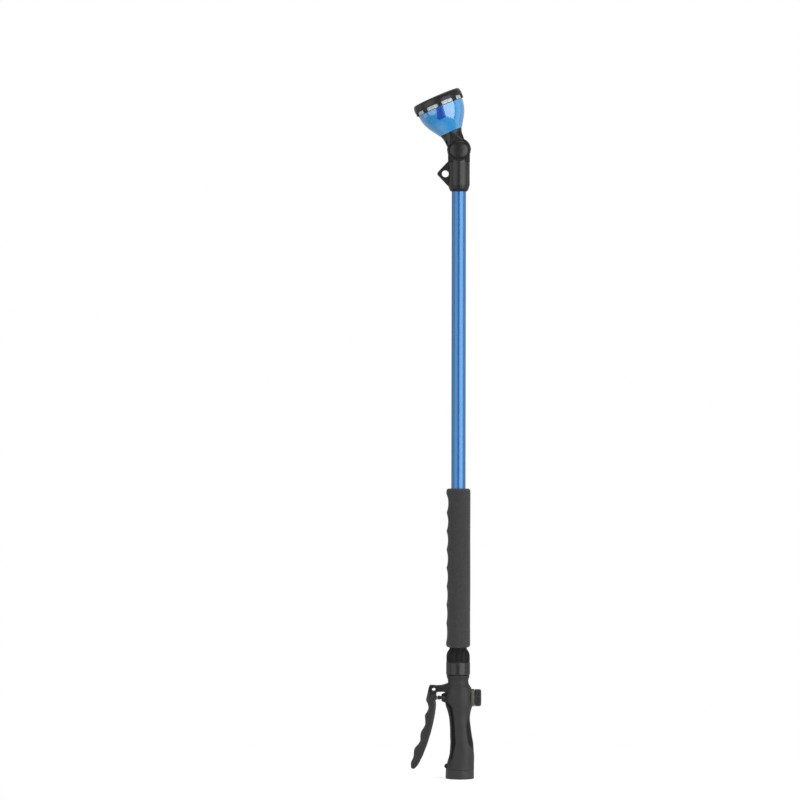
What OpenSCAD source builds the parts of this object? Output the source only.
// Garden watering wand: squeeze valve handle, foam gripped tube and a tilting
// nine pattern spray head. Millimetres, +Z along the tube towards the head.
// The origin is the centre of the hose inlet's mouth. The trigger, the hang
// loop and the spray face are on the -X side, the flow knob is on the +X side,
// and the lever pin and the knuckle bolt lie along Y.

/* [Tube] */
// Length of the aluminium tube
tube_len = 652; // [400:1:900]
// Outside diameter of the tube
tube_od = 19.05; // [18.9:0.05:19.1]
// Wall thickness of the tube
tube_wall = 1.2; // [0.8:0.1:1.2]

/* [Foam grip] */
// Length of the foam grip
grip_len = 210; // [190:1:230]
// Outside diameter of the foam grip
grip_od = 32; // [29:0.5:34]
// Number of finger scallops down the front of the grip
grip_scallops = 8; // [4:1:8]
// Depth of the top scallop
scallop_top = 2.6; // [1:0.1:3]
// Depth of the bottom scallop
scallop_bottom = 1.3; // [0.5:0.1:3]

/* [Head] */
// Tilt of the spray head from the tube line
head_tilt = 23.5; // [0:0.5:60]
// Outside diameter of the pattern dial
dial_od = 67.2; // [66:0.1:69]
// Number of spray patterns round the dial
patterns = 9; // [9:1:9]
// Height of the translucent bowl
bowl_h = 35; // [34:0.5:36]
// Turn of the pattern pointer round the head axis, from the side
pointer_turn = 0; // [-20:1:40]

/* [Knuckle and collar] */
// Radius of the knuckle's domed side caps
cap_r = 12.3; // [10:0.1:12.4]
// Outside radius of the tube collar
collar_r = 14.4; // [13:0.1:15]
// Radius of the hang hole
hang_r = 4.5; // [3:0.1:4.8]

/* [Handle] */
// Outside radius of the ring round the hose inlet
base_r = 18.9; // [18.6:0.1:20]
// Radius of the hose inlet bore, at the thread's major diameter
inlet_r = 13.6; // [13.4:0.1:13.8]
// Height of the valve's cross bore
valve_z = 107; // [106:0.5:108]
// Sideways step between the tube line and the inlet line
tube_x = -2.5; // [-3:0.1:-2]

/* [Trigger] */
// Width of the finger part of the lever
lever_w = 17; // [15:0.5:20]
// Depth of the ridges between the fingers
ridge = 3.6; // [2:0.1:4.5]
// Finger pitch down the lever
finger_pitch = 22.8; // [20:0.1:25]

/* [Hidden] */
$fn = 72;

// places along the tube line
tube_r = tube_od / 2;
tube_bottom = 154;
tube_top = tube_bottom + tube_len;
collar_z = tube_top - 29;
knuckle_z = tube_top + 25.6;
grip_z = 173.8;

// lever pin and the lever's nose that pushes the plunger, as [x, z]
pivot = [-34.7, 118.1];
nose = [pivot[0] + 1.9, valve_z];
nose_r = 3;
lever_rest_gap = 0.1;

// colours used by several nodes
oring_black = [0.1, 0.1, 0.1];
seal_black = [0.15, 0.15, 0.15];
spring_steel = [0.75, 0.75, 0.77];
bolt_steel = [0.7, 0.7, 0.72];
brass = [0.7, 0.58, 0.28];

// ---- places ----
module along_x() rotate([0, 90, 0]) children();
module along_y() rotate([-90, 0, 0]) children();
// on the valve's cross bore, children's z becomes x
module at_valve() translate([0, 0, valve_z]) along_x() children();
// on the lever pin and on the knuckle bolt, children's z becomes y
module at_lever_pin() translate([pivot[0], 0, pivot[1]]) along_y() children();
module at_bolt() translate([0, 0, knuckle_z]) along_y() children();
module on_tube() translate([tube_x, 0, 0]) children();
module on_head() translate([tube_x, 0, knuckle_z]) rotate([0, -head_tilt, 0]) children();
// turn round the head axis: 0 faces -Y, positive towards +X
module turned(angle) rotate([0, 0, angle - 90]) children();

// ---- shapes ----
// side profile drawn in x and z, given a width across Y
module side(width) rotate([90, 0, 0]) linear_extrude(height = width, center = true) children();
module rod(start, radius, length) translate([0, 0, start]) cylinder(r = radius, h = length);
// rows are [start, radius, length]
module rods(rows) for (row = rows) rod(row[0], row[1], row[2]);
module ring(outer, inner, height) difference() {
    cylinder(r = outer, h = height);
    rod(-1, inner, height + 2);
}
module oring(mean_r, wire_r) rotate_extrude() translate([mean_r, 0]) circle(r = wire_r, $fn = 24);
module ring_of_rods(count, circle_r, radius, length, facets) for (i = [0:count - 1])
    rotate([0, 0, 360 * i / count]) translate([circle_r, 0, 0])
        cylinder(r = radius, h = length, $fn = facets);
// blocks centred across Y: from a given x, centred on x, and two crossed
module block_from(x, z, size) translate([x, -size[1] / 2, z]) cube(size);
module block(z, size) block_from(-size[0] / 2, z, size);
module cross(z, size) for (a = [0, 90]) rotate([0, 0, a]) block(z, size);

// closed wire swept along a helix, axis +Z from 0 to height;
// steps are per turn, facets are round the wire
function coil_point(mean_r, wire_r, height, turns, part, around) =
    let (angle = 360 * turns * part, reach = mean_r + wire_r * cos(around))
    [reach * cos(angle), reach * sin(angle),
        wire_r + (height - 2 * wire_r) * part + wire_r * sin(around)];
module coil(mean_r, wire_r, height, turns, steps = 18, facets = 8) {
    count = round(turns * steps);
    points = [for (i = [0:count]) for (j = [0:facets - 1])
        coil_point(mean_r, wire_r, height, turns, i / count, 360 * j / facets)];
    walls = [for (i = [0:count - 1]) for (j = [0:facets - 1])
        let (here = i * facets, above = here + facets, next = (j + 1) % facets)
        each [[here + j, here + next, above + next], [here + j, above + next, above + j]]];
    start_cap = [for (j = [facets - 1:-1:0]) j];
    end_cap = [for (j = [0:facets - 1]) count * facets + j];
    polyhedron(points = points, faces = concat(walls, [start_cap, end_cap]), convexity = 10);
}

// ---- handle ----
foot_r = 16.5;       // valve body round the hose inlet
column_r = 10.2;     // riser column and cross barrel
nose_guide_r = 6.8;
socket_r = 12.6;     // socket for the tube spigot
sleeve_top_r = 13.5;
passage_r = 3.6;     // water passages beside the valve
cheek_y = 7.75;      // middle of each lever cheek
cheek_w = 3.5;
pin_r = 3;

// rubber sleeve: [z, centre x, half width x, half width y]
sleeve_sections = [
    [12, 0.3, 18.6, 18.6], [24, 1.5, 17.5, 17.2], [40, 2.7, 15.9, 15.3],
    [62, 1.1, 14.4, 14.2], [80, -0.6, 14.0, 14.4], [96, -1.5, 17.4, 16.4],
    [112, -1.7, 18.3, 16.8], [127.4, -2.4, 13.5, 13.5]];
// cheek outline [x, z]
cheek_outline = [
    [-12, 127], [-15.5, 126.4], [-20.5, 124.6], [-25.8, 123.2], [pivot[0], 123],
    [pivot[0], 112.6], [-31.6, 113.6], [-30, 114.9], [-22, 115.2], [-12, 112]];
// web between the cheeks [x, z]
web_outline = [[-13, 122.4], [-13, 126.8], [-15.5, 126.4], [-20.5, 124.6],
    [-24.5, 123.55], [-24.5, 121.8]];
// catch outline [x, z]
catch_outline = [[-16.52, 19.8], [-18.9, 19.5], [-20.3, 17.8], [-20.6, 16.4],
    [-19.8, 14.6], [-18.4, 13.3], [-16.52, 13.3]];
// cross bore: [x start, radius, length]
cross_bore = [
    [-25, 3.65, 10.4],  // gland recess
    [-15, 2.4, 5],      // stem hole
    [-12, 7, 9],        // outlet side
    [-4, 4.2, 4],       // seat
    [-1, 7, 19]];       // inlet side

module sleeve_section(row) translate([row[1], 0, row[0]]) scale([row[2], row[3], 1])
    cylinder(r = 1, h = 0.02, $fn = 40);
module sleeve_form() {
    for (i = [0:len(sleeve_sections) - 2]) hull() {
        sleeve_section(sleeve_sections[i]);
        sleeve_section(sleeve_sections[i + 1]);
    }
    // flare up to the union nut
    on_tube() rod(127.3, sleeve_top_r, 3.7);
    on_tube() translate([0, 0, 130.9]) cylinder(r1 = sleeve_top_r, r2 = 15.4, h = 5.7);
}

// two cheeks that carry the lever pin
module cheeks() for (s = [-1, 1]) translate([0, s * cheek_y, 0]) side(cheek_w) {
    polygon(cheek_outline);
    translate(pivot) circle(r = 5.5);
}

// outside of the hard valve body, grown by a gap for the sleeve's cavity
module body_core(gap = 0) {
    rod(-gap, foot_r + gap, 20 + 2 * gap);
    rod(18, column_r + gap, 82);
    at_valve() {
        rod(-13 - gap, column_r + gap, 29.6 + 2 * gap);
        // nose that guides the plunger
        translate([0, 0, -24.5]) cylinder(r1 = 4.7 + gap, r2 = nose_guide_r + gap, h = 4.5);
        rod(-20.02, nose_guide_r + gap, 19);
    }
    on_tube() rod(100, socket_r + gap, 50);
}
module valve_body() color([0.13, 0.13, 0.14]) difference() {
    union() {
        body_core();
        cheeks();
        side(12.2) polygon(web_outline);
    }
    // hose inlet, washer seat and riser
    rods([[-1, inlet_r, 15], [13.9, 13, 2.7], [16, 6, 76]]);
    translate([5.4, 0, 0]) rod(80, passage_r, valve_z - 80);
    at_valve() rods(cross_bore);
    // outlet riser and spigot socket
    translate([-8, 0, 0]) rod(valve_z, passage_r, 18);
    on_tube() rod(122.4, 7, 30);
    at_lever_pin() rod(-12, pin_r + 0.02, 24);
    // blind recesses in the cheeks
    translate([-27, 0, 118.3]) along_y() for (s = [-1, 1]) rod(s * 9.7 - 1, 2.2, 2);
}
module handle_sleeve() color([0.16, 0.17, 0.17]) difference() {
    sleeve_form();
    body_core(0.05);
    // pocket round the lever catch
    block_from(-22, 13.2, [7, 8.1, 6.8]);
    // clefts for the cheeks and the web
    for (s = [-1, 1]) translate([0, s * cheek_y, 0])
        block_from(-40, 111.9, [30, cheek_w + 0.1, 15.3]);
    block_from(-40, 121.7, [30, 2 * cheek_y + cheek_w + 0.1, 5.5]);
    // seat of the flow knob's bezel
    at_valve() rod(14.9, bezel_r + 0.1, 20);
}
module base_ring() color([0.15, 0.15, 0.16]) rotate_extrude()
    polygon([[foot_r + 0.05, 0], [base_r - 1.4, 0], [base_r - 0.4, 1], [base_r, 2.4],
        [base_r, 10.8], [base_r - 0.6, 11.9], [foot_r + 0.05, 11.9]]);
module hose_washer() color([0.2, 0.2, 0.2]) translate([0, 0, 14.05]) ring(12.9, 7.5, 2.5);
// fixed hook that holds the lever's tip when the valve is latched open
module lever_catch() color(oring_black) side(8) polygon(catch_outline);

// ---- trigger ----
finger_z = 104;      // top of the finger part
finger_bottom = 16;
// shoulder above the fingers, up round the pin and down the outside [x, z]
lever_shoulder = [
    [-33, 100.6], [-33, 109], [-31, 110.4], [-31, 113], [pivot[0] + 3, 122.9],
    [-38.6, 124.4], [-40.6, 123.2], [-42, 117], [-43.7, 109.4]];
lever_tip = [[-64.5, 13.4], [-62, 12], [-59.8, 13]];

// x of the face towards the handle, and of the face under the fingers
function lever_in(z) = let (drop = finger_z - z) -31 - 0.08 * drop - 0.0024 * drop * drop;
function bump(z) = pow((1 + cos(360 * (finger_z - z) / finger_pitch)) / 2, 1.4);
// the ridges fade out towards the tip
function lever_out(z) = lever_in(z) - 10.2 - ridge * bump(z) * min(1, (z - 8) / 24);
module lever_profile() polygon(concat(
    [for (z = [finger_bottom:4:96]) [lever_in(z), z]],
    lever_shoulder,
    [for (z = [finger_z:-2:finger_bottom]) [lever_out(z), z]],
    lever_tip));
module lever() color([0.12, 0.12, 0.13]) difference() {
    union() {
        // wide finger part, kept clear of the cheeks
        side(lever_w) intersection() {
            lever_profile();
            union() {
                translate([-80, 0]) square([60, 100.5]);
                translate([-80, 0]) square([38.4, 130]);
            }
        }
        // narrow part between the cheeks
        side(11.6) {
            lever_profile();
            translate(pivot) circle(r = 5.6);
            translate(nose) circle(r = nose_r);
        }
    }
    at_lever_pin() rod(-12, pin_r + 0.06, 24);
}
// tubular pin with a flange at each end
module lever_pin() color([0.6, 0.6, 0.62]) at_lever_pin() difference() {
    union() {
        rod(-9.8, pin_r, 19.6);
        for (s = [-1, 1]) rod(s * 9.95 - 0.4, 4.2, 0.8);
    }
    rod(-11, 2.35, 22);
}

// ---- trigger valve ----
plunger_x = nose[0] + nose_r + lever_rest_gap;  // tip that meets the lever
plunger_r = 2.2;
plunger_neck_x = plunger_x + 3;

module plunger() color([0.72, 0.6, 0.3]) at_valve() rods([
    [plunger_x, 2.7, 3.5],                            // button
    [plunger_neck_x, plunger_r, 5.5 - plunger_neck_x],// stem
    [0.85, 5.6, 2.1]]);                               // disc behind the seal
module plunger_seal() color(seal_black) at_valve()
    translate([0, 0, -0.95]) ring(6, plunger_r + 0.02, 1.75);
module plunger_spring() color(spring_steel) at_valve()
    translate([0, 0, 3]) coil(mean_r = 4.5, wire_r = 0.4, height = 8.35, turns = 3);
module gland_nut() color(brass) at_valve() difference() {
    rod(-22.2, 3.6, 5.7);
    rod(-23, plunger_r + 0.06, 8);
    // driver slot
    block(-23, [8, 1, 1.6]);
}
module gland_oring() color(oring_black) at_valve() translate([0, 0, -15.55]) oring(2.925, 0.7);

// ---- flow control ----
bezel_r = 11.6;
flow_stem_r = 4;
knob_x = 19.2;
// knob outline [radius, height above its foot]
knob_outline = [[0, 0], [10.5, 0], [11.3, 0.8], [11.3, 6.2], [10.8, 7.8], [9.6, 8.8],
    [8.6, 9], [0, 9]];

module flow_bonnet() color([0.55, 0.55, 0.53]) at_valve() difference() {
    union() {
        rod(10.5, 6.95, 6.3);
        rod(16.7, bezel_r, 2.3);
        translate([0, 0, 15]) ring(bezel_r, 10.25, 1.8);
    }
    // inner bore, stem hole and O-ring groove
    rods([[10, 6, 6], [15, flow_stem_r + 0.05, 5], [16.6, 5.5, 1.6]]);
}
module flow_oring() color(oring_black) at_valve() translate([0, 0, 17.4]) oring(4.78, 0.7);
module flow_plug() color([0.75, 0.72, 0.6]) at_valve() translate([0, 0, 11.4]) ring(5.8, 1.46, 1.4);
module flow_stem() color(brass) at_valve() difference() {
    // peg, flange and stem
    rods([[9.6, 1.4, 4], [12.9, 5.9, 1.5], [14.3, flow_stem_r, 11.5]]);
    // screw hole
    rod(19.4, 1.5, 8);
}
module flow_knob() color([0.14, 0.14, 0.14]) at_valve() difference() {
    translate([0, 0, knob_x]) rotate_extrude() polygon(knob_outline);
    // stem socket, screw hole and screw head recess
    rods([[19, flow_stem_r + 0.02, 6.86], [20, 1.6, 10], [26.9, 3.4, 3]]);
    // grip flutes
    translate([0, 0, 20.6])
        ring_of_rods(count = 18, circle_r = 12.05, radius = 1.3, length = 9, facets = 16);
}
module knob_screw() color(spring_steel) at_valve() difference() {
    rods([[19.6, 1.45, 8], [26.95, 3.1, 1.2]]);
    cross(27.5, [3.6, 0.7, 1]);
}

// ---- union between handle and tube ----
spigot_ring_z = [127, 133];
// union nut outline [radius, z]
union_outline = [
    [12.68, 137], [15.1, 137], [15.6, 137.4], [15.9, 138], [15.9, 161], [15.6, 163.6],
    [15, 166.2], [14.1, 168.6], [12.9, 170.6], [11.7, 171.2], [11.7, 173.5],
    [9.8, 173.5], [9.8, 154.2], [12.68, 154.2]];

module union_nut() color([0.13, 0.13, 0.13]) on_tube() difference() {
    rotate_extrude() polygon(union_outline);
    // grip flutes
    translate([0, 0, 154.6]) rotate([0, 0, 15])
        ring_of_rods(count = 12, circle_r = 16.9, radius = 1.8, length = 20, facets = 20);
}
module tube_spigot() color([0.2, 0.2, 0.2]) on_tube() difference() {
    // plug in the valve body, flange and plug in the tube
    rods([[123, 6.9, 27.2], [150.1, 12.4, 3.8], [153.8, tube_r - tube_wall - 0.1, 18]]);
    rod(122, 5, 60);
    for (z = spigot_ring_z) translate([0, 0, z - 1]) ring(8, 5.7, 2);
}
module spigot_orings() color(oring_black) on_tube()
    for (z = spigot_ring_z) translate([0, 0, z]) oring(6.33, 0.62);

// ---- tube and foam ----
grip_r = grip_od / 2;
// rounded end of the grip: [from outside radius, from the end]
grip_edge = [[-3, 0], [-0.8, 1.2], [0, 3.4]];
grip_margin = 7.5;   // plain length at each end of the scallops
scallop_pitch = (grip_len - 2 * grip_margin) / grip_scallops;
scallop_half = 9;    // half the length of a scallop

module tube() color([0.2, 0.47, 0.85]) on_tube()
    translate([0, 0, tube_bottom]) ring(tube_r, tube_r - tube_wall, tube_len);
module foam_grip() color([0.22, 0.22, 0.23]) on_tube() difference() {
    rotate_extrude() polygon(concat(
        [[tube_r + 0.03, grip_z]],
        [for (i = [0:2]) [grip_r + grip_edge[i][0], grip_z + grip_edge[i][1]]],
        [for (i = [2:-1:0]) [grip_r + grip_edge[i][0], grip_z + grip_len - grip_edge[i][1]]],
        [[tube_r + 0.03, grip_z + grip_len]]));
    for (i = [0:grip_scallops - 1]) {
        depth = scallop_bottom + (scallop_top - scallop_bottom) * i / max(1, grip_scallops - 1);
        radius = (pow(scallop_half, 2) + depth * depth) / (2 * depth);
        translate([depth - grip_r - radius, -20, grip_z + grip_margin + scallop_pitch * (i + 0.5)])
            along_y() cylinder(r = radius, h = 40, $fn = 96);
    }
}

// ---- collar with hang loop and knuckle fork ----
collar_top = knuckle_z - 13.6;
hang_z = collar_z + 23.4;
slot_w = 14.8;       // gap between the fork's ears
ear_w = 5.2;
neck_w = 14.4;
neck_r = 15.4;
bolt_r = 2.5;
cap_base = 12.65;    // y of the cap's inner face
cap_edge = 13.1;     // y where the dome starts

module collar() color([0.14, 0.14, 0.15]) on_tube() difference() {
    union() {
        rotate_extrude() polygon([[0, collar_z], [11.4, collar_z], [12.6, collar_z + 2.4],
            [collar_r, collar_z + 8], [collar_r, collar_top], [0, collar_top]]);
        // fork ears
        intersection() {
            rod(knuckle_z - 20, 18.2, 40);
            for (s = [-1, 1]) translate([0, s * (slot_w + ear_w) / 2, knuckle_z]) {
                rotate([90, 0, 0]) cylinder(r = 15.8, h = ear_w, center = true);
                block(-15.6, [2 * collar_r, ear_w, 12]);
            }
        }
        // hang loop
        side(5) hull() {
            translate([-26.1, hang_z]) circle(r = 3, $fn = 32);
            translate([-11.8, collar_top]) circle(r = 0.01, $fn = 16);
            translate([-11.8, collar_z + 3]) circle(r = 0.01, $fn = 16);
        }
    }
    translate([-18, 0, hang_z]) along_y() rod(-12, hang_r, 24);
    rods([
        [collar_z - 1, tube_r + 0.05, 30.2],  // tube socket
        [collar_z + 18, 11.2, 2],             // O-ring groove
        [collar_z + 20, 6, 20],               // throat
        [knuckle_z - 20, 7.05, 8]]);          // saddle seal seat
    // slot for the neck, relieved in front so that the head can lie flat
    at_bolt() rod(-slot_w / 2, 15.9, slot_w);
    block_from(-40, knuckle_z - 15.2, [40, slot_w, 40]);
    at_bolt() rod(-20, bolt_r + 0.02, 40);
}
module collar_oring() color(oring_black) on_tube()
    translate([0, 0, collar_z + 19]) oring(tube_r + 0.83, 0.78);
// seal with its top hollowed to the neck's drum
module saddle_seal() color([0.12, 0.12, 0.12]) on_tube() difference() {
    translate([0, 0, knuckle_z - 19.95]) ring(7, 5, 6);
    at_bolt() rod(-10, neck_r + 0.06, 20);
}
function dome_y(radius) = cap_base + 3.9 * sqrt(max(0, 1 - pow(radius / (cap_r + 0.4), 2.4)));
// hand is 1 for the +Y side, -1 for the -Y side
module knuckle_cap(hand) color([0.17, 0.17, 0.18]) on_tube() translate([0, 0, knuckle_z])
    rotate([-90 * hand, 0, 0]) rotate_extrude()
    polygon(concat([[5.6, cap_base], [cap_r - 0.4, cap_base], [cap_r, cap_edge]],
        [for (i = [0:9]) let (radius = (cap_r - 0.3) * (1 - i / 9))
            [radius, max(cap_edge, dome_y(radius))]],
        [[0, 15.2], [5.6, 15.2]]));
module knuckle_cap_left() knuckle_cap(1);
module knuckle_cap_right() knuckle_cap(-1);
module pivot_bolt() color(bolt_steel) on_tube() at_bolt()
    rods([[-14.9, bolt_r, 28], [12.7, 4.6, 2.3]]);
module pivot_nut() color(bolt_steel) on_tube() at_bolt() translate([0, 0, -14.95]) difference() {
    cylinder(r = 5, h = 2.25, $fn = 6);
    rod(-1, bolt_r + 0.02, 5);
}

// ---- head that tilts ----
bowl_z = 26.4;       // heights here are along the head axis from the knuckle
bowl_steps = 14;
port_r = 20;         // circle of the spray ports
detent_r = 12;       // circle of the detents
detent_z = 62.3;
hub_r = 3.5;         // post that the dial turns on
skirt_w = 25.44;     // gap between the neck's skirts
// water window arc, in degrees
window_start = 165;
window_end = 285;

module at_port() on_head() turned(pointer_turn) translate([port_r, 0, 0]) children();
module at_detent() on_head() turned(pointer_turn) translate([-detent_r, 0, 0]) children();

module head_neck() color([0.15, 0.15, 0.16]) on_head() difference() {
    union() {
        along_y() rod(-neck_w / 2, neck_r, neck_w);
        block(0, [25.6, neck_w, 18.4]);
        translate([0, 0, 17.8]) cylinder(r1 = 13.4, r2 = 15.2, h = bowl_z - 17.8);
        // skirts that hang over the fork's ears, outside the domed caps
        difference() {
            intersection() {
                rod(10.8, 17.4, 8);
                block(10.8, [26, 29.6, 8]);
            }
            along_y() rod(-skirt_w / 2, 16.1, skirt_w);
            block(5, [40, skirt_w, 12.8]);
            along_y() rod(-20, 12.7, 40);
        }
        rod(bowl_z - 0.1, 11, 6.6);
    }
    // drum cavity with a sleeve left round the bolt
    along_y() difference() {
        rod(-4.6, 10.5, 9.2);
        rod(-5, 4.7, 10);
    }
    along_y() rod(-8, bolt_r + 0.07, 16);
    // riser and manifold socket
    rods([[7, 6.3, 30], [23, 8.5, 12]]);
    // water window, long enough for the whole tilt
    side(9) polygon(concat(
        [for (a = [window_start:15:window_end]) 9.5 * [cos(a), sin(a)]],
        [for (a = [window_end:-15:window_start]) 17 * [cos(a), sin(a)]]));
}
module neck_oring() color(oring_black) on_head() translate([0, 0, 28.5]) oring(7.75, 0.72);

function bowl_r(z) = 16 + 15.2 * sin(90 * (z - bowl_z) / bowl_h);
// point of the bowl's profile at a step, moved out by an offset
function bowl_point(step, out = 0) =
    let (z = bowl_z + 0.02 + (bowl_h - 0.02) * step / bowl_steps) [bowl_r(z) + out, z];
module head_shell() color([0.25, 0.55, 0.92, 0.75]) on_head() rotate_extrude()
    polygon(concat([[11.05, bowl_z + 0.02]],
        [for (i = [0:bowl_steps]) bowl_point(i)],
        [for (i = [bowl_steps:-1:1]) bowl_point(i, -2.3)],
        [[15.6, bowl_z + 2.4], [11.05, bowl_z + 2.4]]));
module pattern_pointer() color([0.1, 0.22, 0.6]) on_head()
    turned(pointer_turn - 16) rotate_extrude(angle = 20)
    polygon(concat([for (i = [8:bowl_steps]) bowl_point(i, 0.06)],
        [for (i = [bowl_steps:-1:8]) bowl_point(i, 1.3)]));

// carries the water from the neck sideways to the one port in use
module manifold() color([0.2, 0.2, 0.21]) on_head() turned(pointer_turn) difference() {
    union() {
        // inlet stub, hub, disc and the dial's post
        rods([[25, 8.4, 17], [40, 10, 10], [47.4, 24.4, 2.6], [49, hub_r, 24.2]]);
        block_from(0, 40, [port_r, 12, 10]);
        translate([port_r, 0, 0]) rod(49, 6.2, 11);
        translate([-detent_r, 0, 0]) rod(49, 3.6, 14.2);
    }
    rod(24, 6, 22);
    // neck O-ring groove
    translate([0, 0, 27.6]) ring(9, 7, 1.8);
    // side channel, port and port seal seat
    block_from(0, 42.4, [port_r, 7.2, 3.6]);
    translate([port_r, 0, 0]) rods([[42.4, 3.6, 18], [52, 5.25, 9]]);
    // dial screw hole and detent bore
    rod(58, 1.62, 16);
    translate([-detent_r, 0, 0]) rod(51.9, 2.2, 12);
}
module port_seal() color(seal_black) at_port() translate([0, 0, 57.1]) ring(5.2, 3.6, 7.34);
module seal_spring() color(spring_steel) at_port()
    translate([0, 0, 52.03]) coil(mean_r = 4.65, wire_r = 0.4, height = 5, turns = 3);
module detent_ball() color([0.8, 0.8, 0.82]) at_detent() translate([0, 0, detent_z]) sphere(r = 2.1);
module detent_spring() color(spring_steel) at_detent() translate([0, 0, 51.95])
    coil(mean_r = 1.6, wire_r = 0.35, height = 8.2, turns = 5, steps = 14, facets = 6);

// ---- dial that turns on the head ----
pitch_deg = 360 / patterns;
dial_r = dial_od / 2;
face_r = 31;
hole_h = 9;          // length of the cutters for the spray holes
// dial ring outline [radius, z]
dial_outline = [
    [31.1, 61.9], [dial_r - 0.3, 61.9], [dial_r, 63], [dial_r, 72.6], [dial_r - 0.5, 74.8],
    [dial_r - 1.8, 76.1], [dial_r - 3, 76.4], [29.6, 76.4], [29.4, 73.4], [31.1, 73.4]];

function pattern_turn(place) = pointer_turn + pitch_deg * place;
module at_patterns() for (k = [0:patterns - 1])
    turned(pattern_turn(k)) translate([port_r, 0, 0]) children();

// the spray holes at one place round the dial
module pattern_holes(place) {
    // jet
    if (place == 0) cylinder(r = 1.3, h = hole_h);
    // shower
    if (place == 1) for (circle_r = [1.7, 3.7])
        rotate([0, 0, circle_r * 9]) ring_of_rods(8, circle_r, 0.55, hole_h, 16);
    // flat
    if (place == 2) block(0, [1.4, 8.8, hole_h]);
    // cone
    if (place == 3) difference() {
        ring(4.2, 3.2, hole_h);
        cross(-1, [10, 1, hole_h + 2]);
    }
    // mist
    if (place == 4) ring_of_rods(3, 2, 0.5, hole_h, 16);
    // soaker
    if (place == 5) ring_of_rods(6, 3.2, 1.1, hole_h, 24);
    // full
    if (place == 6) cross(0, [8, 1.2, hole_h]);
    // angle
    if (place == 7) block(0, [8.4, 1.2, hole_h]);
    // rinse
    if (place == 8) for (x = [-2.6:2.6:2.6]) for (y = [-2.6:2.6:2.6])
        translate([x, y, 0]) cylinder(r = 0.75, h = hole_h, $fn = 20);
}
module port_plate() color([0.25, 0.25, 0.26]) on_head() difference() {
    union() {
        rods([[64.5, 29.7, 2.5], [66, 7, 4.9]]);
        at_patterns() rod(66, 6.6, 4.9);
    }
    at_patterns() rods([[64, 4.4, 9], [67, 5.5, 9]]);
    rod(60, hub_r + 0.06, 12);
    // detent dimples
    for (k = [0:patterns - 1]) turned(pattern_turn(k) + 180)
        translate([detent_r, 0, detent_z]) sphere(r = 2.4);
}
module face_plate() color([0.16, 0.16, 0.17]) on_head() difference() {
    union() {
        rod(71, face_r, 2.3);
        at_patterns() rod(73.2, 6, 0.9);
    }
    rod(70, hub_r + 0.06, 6);
    for (k = [0:patterns - 1])
        turned(pattern_turn(k)) translate([port_r, 0, 68]) pattern_holes(k);
}
module label_band() color([0.9, 0.9, 0.9]) on_head() translate([0, 0, 62.2]) ring(face_r, 30, 8.7);
module dial_ring() color([0.17, 0.17, 0.18]) on_head() difference() {
    rotate_extrude() polygon(dial_outline);
    // windows over the label band, with a 9 degree bar between them
    for (k = [0:patterns - 1]) turned(pattern_turn(k) + 4.5) translate([0, 0, 61])
        rotate_extrude(angle = pitch_deg - 9) translate([29, 0]) square([8, 5.6]);
}
module dial_screw() color(bolt_steel) on_head() difference() {
    rods([[60, 1.6, 14], [73.4, 5.6, 1.9]]);
    cross(74.4, [4.8, 1, 2]);
}

valve_body();
handle_sleeve();
base_ring();
hose_washer();
lever_catch();
lever();
lever_pin();
plunger();
plunger_seal();
plunger_spring();
gland_nut();
gland_oring();
flow_bonnet();
flow_oring();
flow_plug();
flow_stem();
flow_knob();
knob_screw();
union_nut();
tube_spigot();
spigot_orings();
tube();
foam_grip();
collar();
collar_oring();
saddle_seal();
pivot_bolt();
pivot_nut();
knuckle_cap_left();
knuckle_cap_right();
head_neck();
neck_oring();
head_shell();
pattern_pointer();
manifold();
port_seal();
seal_spring();
detent_ball();
detent_spring();
port_plate();
face_plate();
label_band();
dial_ring();
dial_screw();
